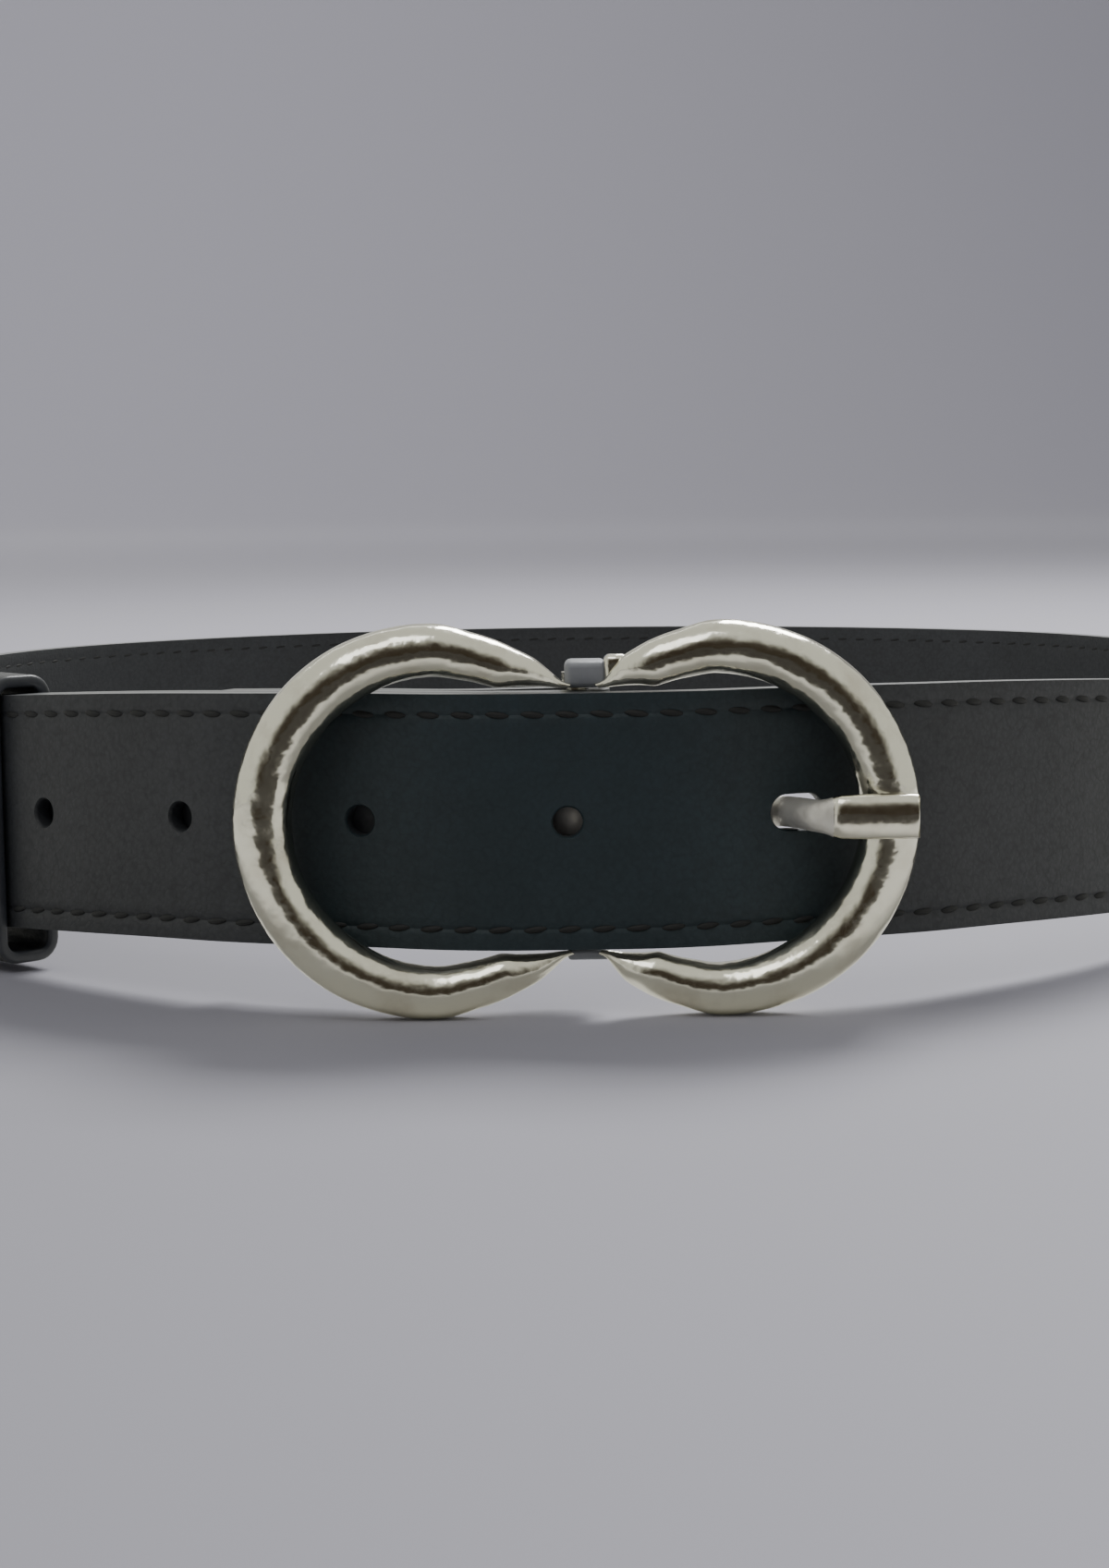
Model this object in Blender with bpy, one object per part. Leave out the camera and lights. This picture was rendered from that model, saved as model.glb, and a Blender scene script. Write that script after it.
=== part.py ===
"""Fastened leather belt standing in a loop on its edge, with a cast buckle of two joined rings.

Metres, +Z up. The buckle faces -Y, the belt's middle at the back is toward +Y, and +X is
the viewer's right. The origin is the middle of the bounding box's underside.
"""
import math

import bmesh
import bpy
import numpy as np
from mathutils import Vector

MM = 0.001

# Strap leather
STRAP_W = 30.0          # height of the strap standing on edge
STRAP_T = 2.4           # thickness
STRAP_EDGE = 0.9        # rounding along both edges
GAP = 0.3               # clearance kept between pieces

# Two rings, cast in one with the bar
RING_OVER = 5.1         # the tube's middle line stands this far outside the strap's edge
TUBE_R = 3.1            # radius of the tube
BAR_R = 1.5             # upright bar between the rings
LUG_W = 4.9             # web that carries the bar at each end
LUG_LEFT = 2.1          # webs reach this far left of the cusps
LUG_CLEAR = 0.4         # webs stay this far outside the strap's edges
LUG_TOP_H = 3.2         # height of the upper web
LUG_BOTTOM_H = 1.2      # height of the lower web
LUG_Y = 0.4             # front of the webs, set back from the rings' fronts
LUG_BEHIND = 0.2        # webs reach this far behind the bar
LUG_EDGE = 0.35         # rounding of the webs
CUSP_X = 1.1            # the rings meet a little right of the middle
STEP_X = 2.7            # step on the right crescent, from the cusp to its inner side
STEP_W = 2.6
STEP_H = 3.9            # above the upper web's lower side
STEP_T = 2.0            # from front to back

# Holes
HOLE_D = 3.5
HOLE_STEP = 24.6        # from hole to hole
HOLE_FIRST = 1.0        # first free hole, left of the bar
FREE_HOLES = (0, 1, 2, 3)
PRONG_HOLE_L = 7.0      # the hole in use, drawn out by the prong
PRONG_HOLE_W = 4.8
EYE_H = 4.0             # height of the prong's eye on the bar
EYE_T = 1.6             # wall of the eye
SLOT_W = 6.4            # slot in the fold that lets the eye through

# Lengths along the strap, from the bar
LOOP_SIDE = 254.0       # from the bends at the buckle to the back of the loop
FLAP_END = 46.0         # folded-under end behind the fixed layer
TIP_END = 140.0         # rounded tip of the free end
KEEPER_AT = 86.0        # middle of the keeper
KEEPER_W = 12.0
KEEPER_T = 1.6
KEEPER_ABOVE = 2.8      # keeper's reach above the strap's top edge
KEEPER_BELOW = 4.6
LAP_START = 45.0        # right of the bar the strap lies fully in front
LAP_END = 170.0         # and here it is back on the inner line
DROOP_START = 22.0      # strap level until here, then it sinks to the floor
DROOP_END = 199.0

# Derived
HALF_W = STRAP_W / 2.0
RING_R = HALF_W + RING_OVER                  # radius to the middle of the tube
RING_X = 0.821 * RING_R                      # each ring's centre, from the buckle's centre
REACH = RING_X + RING_R + TUBE_R             # from the buckle's centre to a ring's outer side
LIFT = RING_R + TUBE_R                       # buckle's centre above the floor
LAP = STRAP_T + GAP                          # from one layer's middle to the next
FREE_Y = -0.6                                # middle of the free layer at the bar
FIXED_Y = FREE_Y + LAP
WRAP_R = BAR_R + GAP + STRAP_T / 2.0
BAR_Y = FIXED_Y + WRAP_R
CLEAR_Z = HALF_W + LUG_CLEAR

# Half of the loop seen from above, a row per bend, from the buckle to the back
BENDS = (
    # length, turn in degrees
    (0.126 * REACH, 0.0),
    (0.353 * REACH, 19.0),
    (0.353 * REACH, 0.0),
    (0.353 * REACH, 17.0),
    (0.327 * REACH, 2.0),
    (0.547 * LOOP_SIDE, 52.0),
    (0.217 * LOOP_SIDE, 4.0),
    (0.236 * LOOP_SIDE, 46.0),
)

# Sections of the rounded tip, as shares of its length
TIP = (0.0, 0.2, 0.4, 0.6, 0.76, 0.88, 0.96, 1.0)

# Ring tube from its outer side to the cusp, a row per section
CRESCENT = (
    # degrees from the partner's side, tube share, radius share, set back in mm
    (180.0, 1.12, 1.000, 0.0),
    (170.0, 1.12, 1.000, 0.0),
    (160.0, 1.12, 1.000, 0.0),
    (150.0, 1.12, 1.000, 0.0),
    (140.0, 1.12, 1.000, 0.0),
    (130.0, 1.11, 1.000, 0.0),
    (120.0, 1.09, 1.000, 0.0),
    (110.0, 1.05, 1.000, 0.0),
    (100.0, 1.02, 1.000, 0.0),
    (90.0, 1.00, 1.000, 0.0),
    (77.6, 0.91, 0.981, 0.0),
    (66.3, 0.83, 0.980, 0.0),
    (58.9, 0.61, 1.008, 0.1),
    (54.2, 0.40, 1.024, 0.2),
    (49.0, 0.17, 1.047, 0.4),
    (46.4, 0.11, 1.075, 0.5),
)

# Prong from the eye to the tip, a row per section
PRONG = (
    # share of the reach, y, rise, half width, half thickness
    (0.055, 5.0, 0.0, 1.75, 1.10),
    (0.227, 5.0, 0.0, 1.85, 1.10),
    (0.403, 5.4, 0.0, 1.85, 1.10),
    (0.500, 6.0, 0.0, 1.80, 1.10),
    (0.552, 6.2, 0.0, 1.80, 1.15),
    (0.604, 5.3, 0.1, 1.80, 1.30),
    (0.630, 3.9, 0.2, 1.80, 1.60),
    (0.654, 2.0, 0.3, 1.80, 1.95),
    (0.676, -0.1, 0.4, 1.80, 2.05),
    (0.700, -2.1, 0.4, 1.85, 1.90),
    (0.728, -3.7, 0.5, 2.05, 1.50),
    (0.756, -4.6, 0.5, 2.50, 1.15),
    (0.781, -4.9, 0.5, 2.60, 1.10),
    (0.882, -4.9, 0.5, 2.60, 1.10),
    (0.977, -4.9, 0.5, 2.60, 1.10),
    (0.990, -4.9, 0.5, 2.45, 0.90),
)
HOLE_IN_USE = 0.6650 * REACH                 # middle of the prong's hole, right of the bar


def half_loop(h):
    """Plan position and heading at length h along the right half of the inner line."""
    x, y, a = 0.0, FIXED_Y, 0.0
    left = h
    for length, turn in BENDS:
        d = min(left, length)
        t = math.radians(turn) * d / length
        if abs(t) < 1e-9:
            x, y = x + d * math.cos(a), y + d * math.sin(a)
        else:
            r = d / t
            x, y = x + r * (math.sin(a + t) - math.sin(a)), y + r * (math.cos(a) - math.cos(a + t))
        a += t
        left -= d
        if left <= 0.0:
            return x, y, a
    r = x / math.sin(a)
    t = min(left / r, math.pi - a)
    return x + r * (math.sin(a + t) - math.sin(a)), y + r * (math.cos(a) - math.cos(a + t)), a + t


def half_length():
    """Length of half the inner line: the bends and the arc that closes them at the back."""
    total = sum(row[0] for row in BENDS)
    x, _, a = half_loop(total)
    return total + (math.pi - a) * x / math.sin(a)


HALF = half_length()


def ease(t):
    t = min(max(t, 0.0), 1.0)
    return t * t * (3.0 - 2.0 * t)


def mid_height(h):
    return LIFT + (HALF_W - LIFT) * ease((h - DROOP_START) / (DROOP_END - DROOP_START))


def on_loop(h, side, out):
    """Point at length h on the left (-1) or right (+1) half, moved outward by out."""
    x, y, a = half_loop(h)
    return Vector((side * (x + out * math.sin(a)), y - out * math.cos(a), mid_height(h)))


def steps(start, end):
    """Lengths from start to end, close together where the strap bends at the buckle."""
    out, h = [], start
    direction = 1.0 if end > start else -1.0
    while (end - h) * direction > 1e-6:
        out.append(h)
        h += direction * (2.6 if min(h, h + direction) < 64.0 else 7.5)
    return out


def strap_line():
    """Middle of the strap from the folded end, round the bar and the loop, to the tip."""
    line = []
    for h in steps(FLAP_END, 0.0):
        drop = 1.0 - ease(h / 18.0)
        line.append(on_loop(h, -1, -LAP - (2.0 * WRAP_R - LAP) * drop))
    for i in range(11):
        a = math.pi * (0.5 - i / 10.0)
        line.append(Vector((WRAP_R * math.cos(a), BAR_Y + WRAP_R * math.sin(a), LIFT)))
    for h in steps(0.0, HALF)[1:]:
        line.append(on_loop(h, -1, 0.0))
    for h in steps(HALF, 0.0):
        line.append(on_loop(h, 1, LAP * (1.0 - ease((h - LAP_START) / (LAP_END - LAP_START)))))
    tip = TIP_END - HALF_W
    for h in steps(0.0, tip):
        line.append(on_loop(h, -1, LAP))
    for share in TIP:
        line.append(on_loop(tip + HALF_W * share, -1, LAP))
    return line


def rounded_section(half_a, half_b, r, n=3):
    """Rounded rectangle, counter-clockwise, n points at each corner."""
    out = []
    for k, (sa, sb) in enumerate(((1, 1), (-1, 1), (-1, -1), (1, -1))):
        for i in range(n):
            a = math.radians(90.0 * k + 90.0 * i / (n - 1))
            out.append((sa * (half_a - r) + r * math.cos(a), sb * (half_b - r) + r * math.sin(a)))
    return out


def skin(rings, closed):
    """Mesh over a row of equal rings of points, capped at the ends unless closed."""
    bm = bmesh.new()
    rows = [[bm.verts.new(p * MM) for p in ring] for ring in rings]
    n = len(rows[0])
    last = len(rows) if closed else len(rows) - 1
    for i in range(last):
        a, b = rows[i], rows[(i + 1) % len(rows)]
        for j in range(n):
            k = (j + 1) % n
            bm.faces.new((a[j], a[k], b[k], b[j]))
    if not closed:
        bm.faces.new(rows[0])
        bm.faces.new(rows[-1])
    bmesh.ops.recalc_face_normals(bm, faces=bm.faces)
    return bm


def finish(bm, name, material, collection):
    mesh = bpy.data.meshes.new(name)
    bm.to_mesh(mesh)
    bm.free()
    obj = bpy.data.objects.new(name, mesh)
    if material is not None:
        mesh.materials.append(material)
    collection.objects.link(obj)
    return obj


def combine(obj, cutters, operation):
    """Applies one exact boolean after another and keeps the result as plain mesh."""
    for cutter in cutters:
        mod = obj.modifiers.new("bool", "BOOLEAN")
        mod.object, mod.operation, mod.solver = cutter, operation, "EXACT"
    bpy.context.view_layer.update()
    graph = bpy.context.evaluated_depsgraph_get()
    mesh = bpy.data.meshes.new_from_object(obj.evaluated_get(graph))
    mesh.name = obj.name
    obj.modifiers.clear()
    obj.data = mesh
    bm = bmesh.new()
    bm.from_mesh(mesh)
    bmesh.ops.remove_doubles(bm, verts=bm.verts, dist=1e-6)
    bm.to_mesh(mesh)
    bm.free()


def material(name, colour, metallic, roughness):
    mat = bpy.data.materials.new(name)
    mat.use_nodes = True
    node = mat.node_tree.nodes["Principled BSDF"]
    node.inputs["Base Color"].default_value = (*colour, 1.0)
    node.inputs["Metallic"].default_value = metallic
    node.inputs["Roughness"].default_value = roughness
    return mat


def tangent(line, i, closed=False):
    n = len(line)
    a = line[(i - 1) % n] if closed or i > 0 else line[i]
    b = line[(i + 1) % n] if closed or i < n - 1 else line[i]
    return (b - a).normalized()


def strap_mesh():
    line = strap_line()
    rings = []
    for i, p in enumerate(line):
        t = tangent(line, i)
        across = Vector((t.y, -t.x, 0.0)).normalized()
        half = HALF_W
        if i >= len(line) - len(TIP):
            share = min((line[-1] - p).length / HALF_W, 1.0)
            half = HALF_W * max(math.sqrt(share * (2.0 - share)), 0.12)
        section = rounded_section(STRAP_T / 2.0, half, STRAP_EDGE)
        rings.append([p + across * a + Vector((0.0, 0.0, b)) for a, b in section])
    return skin(rings, False)


def free_layer_at(s):
    """Point, outward direction and heading of the free layer, s to the left of the bar."""
    side = -1 if s >= 0.0 else 1
    walked, h, step = 0.0, 0.0, 0.05
    p = on_loop(0.0, side, LAP)
    while walked < abs(s):
        h += step
        q = on_loop(h, side, LAP)
        walked += (q - p).length
        p = q
    a = half_loop(h)[2]
    out = Vector((side * math.sin(a), -math.cos(a), 0.0))
    return p, out, Vector((side * math.cos(a), math.sin(a), 0.0))


def hole_cutter(name, s, length, width, collection):
    """Upright round-ended plug through the free layer only."""
    p, out, along = free_layer_at(s)
    n, depth = 24, STRAP_T / 2.0 + GAP / 2.0
    r, half = width / 2.0, (length - width) / 2.0
    rings = []
    for d in (-depth, depth):
        ring = []
        for i in range(n):
            a = 2.0 * math.pi * (i + 0.5) / n
            shift = r * math.cos(a) + (half if math.cos(a) > 0.0 else -half)
            ring.append(p + out * d + along * shift + Vector((0.0, 0.0, r * math.sin(a))))
        rings.append(ring)
    return finish(skin(rings, False), name, None, collection)


def tube_mesh(side, n=16):
    """One crescent of the buckle, from cusp to cusp round its outer side."""
    rows = [(math.radians(d), t, r, b) for d, t, r, b in CRESCENT]
    half = rows[::-1]
    full = half + [(2.0 * math.pi - a, t, r, b) for a, t, r, b in half[-2::-1]]
    line = []
    for a, share, r, b in full:
        x = side * (RING_X - RING_R * r * math.cos(a)) + CUSP_X * max(1.0 - share, 0.0)
        line.append(Vector((x, b, LIFT + RING_R * r * math.sin(a))))
    rings = []
    for i, (p, row) in enumerate(zip(line, full)):
        t = tangent(line, i)
        u = Vector((0.0, 1.0, 0.0))
        v = t.cross(u).normalized()
        radius = TUBE_R * row[1]
        turns = [2.0 * math.pi * k / n for k in range(n)]
        rings.append([p + (u * math.cos(c) + v * math.sin(c)) * radius for c in turns])
    return skin(rings, False)


def box(low, high, edge):
    """Block between two corners with its edges rounded off."""
    bm = bmesh.new()
    bmesh.ops.create_cube(bm, size=1.0)
    low, high = Vector(low), Vector(high)
    for v in bm.verts:
        v.co = Vector([(lo + hi) / 2.0 + c * (hi - lo) for lo, hi, c in zip(low, high, v.co)]) * MM
    if edge > 0.0:
        bmesh.ops.bevel(bm, geom=bm.edges[:], offset=edge * MM, segments=2, affect="EDGES", profile=0.5)
    return bm


def upright(radius, low, high, centre_y, n=20, hole=0.0):
    """Upright cylinder at X = 0, or a tube when it has a hole."""
    def circle(r, z):
        turns = [2.0 * math.pi * k / n for k in range(n)]
        return [Vector((r * math.cos(c), centre_y + r * math.sin(c), z)) for c in turns]

    outer = [circle(radius, low), circle(radius, high)]
    if hole > 0.0:
        return skin(outer + [circle(hole, high), circle(hole, low)], True)
    return skin(outer, False)


def prong_mesh():
    """Shaft of the prong from inside its eye to the tip over the right ring."""
    line = [Vector((share * REACH, y, LIFT + rise)) for share, y, rise, _, _ in PRONG]
    rings = []
    for i, (p, row) in enumerate(zip(line, PRONG)):
        t = tangent(line, i)
        across = Vector((t.y, -t.x, 0.0)).normalized()
        section = rounded_section(row[4], row[3], 0.75 * row[4])
        rings.append([p + across * a + Vector((0.0, 0.0, b)) for a, b in section])
    return skin(rings, False)


def keeper_mesh():
    """Leather band round the fixed and the free layer, lying low on the strap."""
    mid = LAP / 2.0
    base = on_loop(KEEPER_AT, -1, mid)
    a = half_loop(KEEPER_AT)[2]
    out = Vector((-math.sin(a), -math.cos(a), 0.0))
    along = Vector((-math.cos(a), math.sin(a), 0.0))
    up = Vector((0.0, 0.0, 1.0))
    half_t = KEEPER_T / 2.0
    deep = (LAP + STRAP_T) / 2.0 + GAP + 0.15 + half_t
    tall = (STRAP_W + KEEPER_ABOVE + KEEPER_BELOW) / 2.0 - half_t
    centre = base + up * (KEEPER_ABOVE - KEEPER_BELOW) / 2.0
    rings = []
    path = rounded_section(deep, tall, 2.2, 5)
    pts = [centre + out * p + up * q for p, q in path]
    for i, p in enumerate(pts):
        t = tangent(pts, i, True)
        across = t.cross(along).normalized()
        section = rounded_section(KEEPER_W / 2.0, half_t, 0.6)
        rings.append([p + along * u + across * v for u, v in section])
    return skin(rings, True)


def build():
    for obj in list(bpy.data.objects):
        bpy.data.objects.remove(obj, do_unlink=True)
    scene = bpy.context.scene
    belt = bpy.data.collections.new("double_ring_belt")
    tools = bpy.data.collections.new("cutters")
    scene.collection.children.link(belt)
    scene.collection.children.link(tools)

    leather = material("strap_leather", (0.030, 0.034, 0.036), 0.0, 0.55)
    band = material("keeper_leather", (0.030, 0.033, 0.035), 0.0, 0.55)
    frame_metal = material("frame_metal", (0.80, 0.78, 0.72), 1.0, 0.12)
    prong_metal = material("prong_metal", (0.80, 0.78, 0.72), 1.0, 0.14)

    strap = finish(strap_mesh(), "strap", leather, belt)
    keeper = finish(keeper_mesh(), "keeper", band, belt)
    frame = finish(tube_mesh(-1), "buckle_frame", frame_metal, belt)
    prong = finish(prong_mesh(), "buckle_prong", prong_metal, belt)

    back = BAR_Y + BAR_R + LUG_BEHIND
    cusp = CUSP_X * (1.0 - CRESCENT[-1][1])
    left = cusp - LUG_LEFT
    top, bottom = LIFT + CLEAR_Z, LIFT - CLEAR_Z
    parts = [
        finish(tube_mesh(1), "ring_right", None, tools),
        finish(box((left, LUG_Y, top), (left + LUG_W, back, top + LUG_TOP_H), LUG_EDGE),
               "web_upper", None, tools),
        finish(box((left, LUG_Y, bottom - LUG_BOTTOM_H), (left + LUG_W, back, bottom), LUG_EDGE),
               "web_lower", None, tools),
        finish(box((cusp + STEP_X, 0.0, top + LUG_EDGE),
                   (cusp + STEP_X + STEP_W, STEP_T, top + STEP_H), LUG_EDGE), "step", None, tools),
        finish(upright(BAR_R, bottom - LUG_BOTTOM_H / 2.0, top + LUG_TOP_H / 2.0, BAR_Y),
               "bar", None, tools),
    ]
    combine(frame, parts, "UNION")
    bore, half_eye = BAR_R + GAP, EYE_H / 2.0
    eye = finish(upright(bore + EYE_T, LIFT - half_eye, LIFT + half_eye, BAR_Y, hole=bore),
                 "eye", None, tools)
    combine(prong, [eye], "UNION")

    slot = finish(box((-2.0 * WRAP_R, FREE_Y + (STRAP_T + GAP) / 2.0, LIFT - SLOT_W / 2.0),
                     (WRAP_R + STRAP_T, BAR_Y + WRAP_R + STRAP_T, LIFT + SLOT_W / 2.0), 0.0),
                  "fold_slot", None, tools)
    holes = [slot, hole_cutter("hole_in_use", -HOLE_IN_USE, PRONG_HOLE_L, PRONG_HOLE_W, tools)]
    for k in FREE_HOLES:
        holes.append(hole_cutter("hole_%d" % (k + 1), HOLE_FIRST + k * HOLE_STEP, HOLE_D, HOLE_D, tools))
    combine(strap, holes, "DIFFERENCE")

    for tool in tools.objects:
        tool.hide_render = True
        tool.display_type = "WIRE"

    pieces = [strap, keeper, frame, prong]
    corners = np.array([v.co[:] for obj in pieces for v in obj.data.vertices])
    shift = Vector((-(corners[:, 0].min() + corners[:, 0].max()) / 2.0,
                    -(corners[:, 1].min() + corners[:, 1].max()) / 2.0, -corners[:, 2].min()))
    for obj in pieces + list(tools.objects):
        for v in obj.data.vertices:
            v.co += shift


build()
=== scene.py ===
"""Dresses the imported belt: strap, stitching, keeper, ring frame and prong, with floor and lights."""
import math

import bmesh
import bpy
from mathutils import Matrix, Vector, noise


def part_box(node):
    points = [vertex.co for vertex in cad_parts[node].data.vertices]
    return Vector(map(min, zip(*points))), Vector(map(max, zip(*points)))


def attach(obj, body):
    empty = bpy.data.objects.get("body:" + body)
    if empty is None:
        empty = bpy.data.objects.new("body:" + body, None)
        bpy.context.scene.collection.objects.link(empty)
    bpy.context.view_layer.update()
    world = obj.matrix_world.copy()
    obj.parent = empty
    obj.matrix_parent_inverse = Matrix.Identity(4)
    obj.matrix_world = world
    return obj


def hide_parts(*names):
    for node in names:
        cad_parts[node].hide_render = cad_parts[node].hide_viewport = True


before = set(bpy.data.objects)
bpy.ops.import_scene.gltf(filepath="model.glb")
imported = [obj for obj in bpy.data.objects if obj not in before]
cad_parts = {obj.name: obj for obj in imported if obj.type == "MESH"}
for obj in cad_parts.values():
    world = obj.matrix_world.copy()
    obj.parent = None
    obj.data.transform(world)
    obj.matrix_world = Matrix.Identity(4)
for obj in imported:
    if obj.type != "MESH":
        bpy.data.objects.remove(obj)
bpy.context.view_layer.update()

MM = 0.001
INNER_UV = 0.2                               # the inner face's share of the flat map lies this far up

# Strap and buckle sizes in millimetres, as in the part
STRAP_W, STRAP_T, GAP = 30.0, 2.4, 0.3
HALF_W, HALF_T = STRAP_W / 2.0, STRAP_T / 2.0
TUBE_R = 3.1
FULL_TUBE = 1.12                             # share of the tube at the rings' outer sides
RING_R = HALF_W + 5.1
RING_X = 0.821 * RING_R
REACH = RING_X + RING_R + TUBE_R
LIFT = RING_R + TUBE_R
BAR_R = 1.5
LAP = STRAP_T + GAP
FREE_Y = -0.6
FIXED_Y = FREE_Y + LAP
WRAP_R = BAR_R + GAP + HALF_T
BAR_Y = FIXED_Y + WRAP_R
FLAP_END, TIP_END = 46.0, 140.0
LAP_START, LAP_END = 45.0, 170.0
DROOP_START, DROOP_END = 22.0, 199.0
HOLE_FIRST, HOLE_STEP, HOLE_D = 1.0, 24.6, 3.5
HOLE_IN_USE = 0.6650 * REACH
PRONG_HOLE = (6.8, 4.2, 0.3)                 # length, width and rise of the drawn-out hole
KEEPER_AT, KEEPER_W, KEEPER_T = 86.0, 12.0, 1.6
KEEPER_ABOVE, KEEPER_BELOW = 2.8, 4.6
SLOT_W = 6.4
STITCH_PITCH, STITCH_IN = 4.0, 2.45
LOOP_SIDE = 254.0

BENDS = (
    # length, turn in degrees
    (0.126 * REACH, 0.0),
    (0.353 * REACH, 19.0),
    (0.353 * REACH, 0.0),
    (0.353 * REACH, 17.0),
    (0.327 * REACH, 2.0),
    (0.547 * LOOP_SIDE, 52.0),
    (0.217 * LOOP_SIDE, 4.0),
    (0.236 * LOOP_SIDE, 46.0),
)

# The part's own place: ring plane and buckle middle in the row frame
low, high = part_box("buckle_frame")
PLACE = Vector(((low.x + high.x) / 2.0, low.y + TUBE_R * FULL_TUBE * MM, 0.0))


def ease(t):
    t = min(max(t, 0.0), 1.0)
    return t * t * (3.0 - 2.0 * t)


# The belt's line, seen from above

FOLD_FINE, LOOP_FINE, TIP_FINE, WRAP_TURNS = 0.5, 0.8, 0.6, 30
FLAP_SETTLES = 18.0                          # length over which the folded end closes on the strap


def half_loop(h):
    """Position and heading at length h along the right half of the inner line."""
    x, y, a = 0.0, FIXED_Y, 0.0
    left = h
    for length, turn in BENDS:
        d = min(left, length)
        t = math.radians(turn) * d / length
        if abs(t) < 1e-9:
            x, y = x + d * math.cos(a), y + d * math.sin(a)
        else:
            r = d / t
            x, y = x + r * (math.sin(a + t) - math.sin(a)), y + r * (math.cos(a) - math.cos(a + t))
        a += t
        left -= d
        if left <= 0.0:
            return x, y, a
    r = x / math.sin(a)
    t = min(left / r, math.pi - a)
    return x + r * (math.sin(a + t) - math.sin(a)), y + r * (math.cos(a) - math.cos(a + t)), a + t


def half_length():
    total = sum(row[0] for row in BENDS)
    x, _, a = half_loop(total)
    return total + (math.pi - a) * x / math.sin(a)


HALF = half_length()


def on_loop(h, side, out):
    x, y, a = half_loop(h)
    z = LIFT + (HALF_W - LIFT) * ease((h - DROOP_START) / (DROOP_END - DROOP_START))
    return Vector((side * (x + out * math.sin(a)), y - out * math.cos(a), z))


def strap_line():
    """Fine middle line of the leather, from its folded end to its tip, with the length at each point."""
    line = []
    n = int(FLAP_END / FOLD_FINE)
    for i in range(n):
        h = FLAP_END * (1.0 - i / n)
        line.append(on_loop(h, -1, -LAP - (2.0 * WRAP_R - LAP) * (1.0 - ease(h / FLAP_SETTLES))))
    for i in range(WRAP_TURNS + 1):
        a = math.pi * (0.5 - i / WRAP_TURNS)
        line.append(Vector((WRAP_R * math.cos(a), BAR_Y + WRAP_R * math.sin(a), LIFT)))
    n = int(HALF / LOOP_FINE)
    for i in range(1, n):
        line.append(on_loop(HALF * i / n, -1, 0.0))
    for i in range(n):
        h = HALF * (1.0 - i / n)
        line.append(on_loop(h, 1, LAP * (1.0 - ease((h - LAP_START) / (LAP_END - LAP_START)))))
    n = int(TIP_END / TIP_FINE)
    bar = len(line)
    for i in range(n + 1):
        line.append(on_loop(TIP_END * i / n, -1, LAP))
    lengths = [0.0]
    for a, b in zip(line, line[1:]):
        lengths.append(lengths[-1] + (b - a).length)
    return line, lengths, lengths[bar]


LINE, LENGTHS, AT_BAR = strap_line()
TOTAL = LENGTHS[-1]
WRAP_START = LENGTHS[int(FLAP_END / FOLD_FINE)]


def at(u):
    """Middle of the leather, its inward direction and its heading at length u."""
    lo, hi = 0, len(LENGTHS) - 1
    while hi - lo > 1:
        mid = (lo + hi) // 2
        if LENGTHS[mid] <= u:
            lo = mid
        else:
            hi = mid
    span = LENGTHS[hi] - LENGTHS[lo]
    f = (u - LENGTHS[lo]) / span

    def heading(i):
        a, b = LINE[max(i - 1, 0)], LINE[min(i + 1, len(LINE) - 1)]
        d = b - a
        return Vector((d.x, d.y, 0.0)).normalized()

    along = heading(lo).lerp(heading(hi), min(max(f, 0.0), 1.0)).normalized()
    p = LINE[lo].lerp(LINE[hi], f)
    return p, Vector((along.y, -along.x, 0.0)), along


def bend(bm):
    """Takes a flat piece, in mm, onto the belt's line: x along, y across, z toward its inner side."""
    for v in bm.verts:
        p, inward, along = at(v.co.x)
        v.co = (p + inward * v.co.z + Vector((0.0, 0.0, v.co.y))) * MM + PLACE


# Node groups

def group_socket(group, name, in_out, kind, value=None):
    socket = group.interface.new_socket(name=name, in_out=in_out, socket_type=kind)
    if value is not None:
        socket.default_value = value
    return socket


def node(tree, kind, **settings):
    made = tree.nodes.new(kind)
    for key, value in settings.items():
        if key in made.inputs:
            made.inputs[key].default_value = value
        else:
            setattr(made, key, value)
    return made


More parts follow.
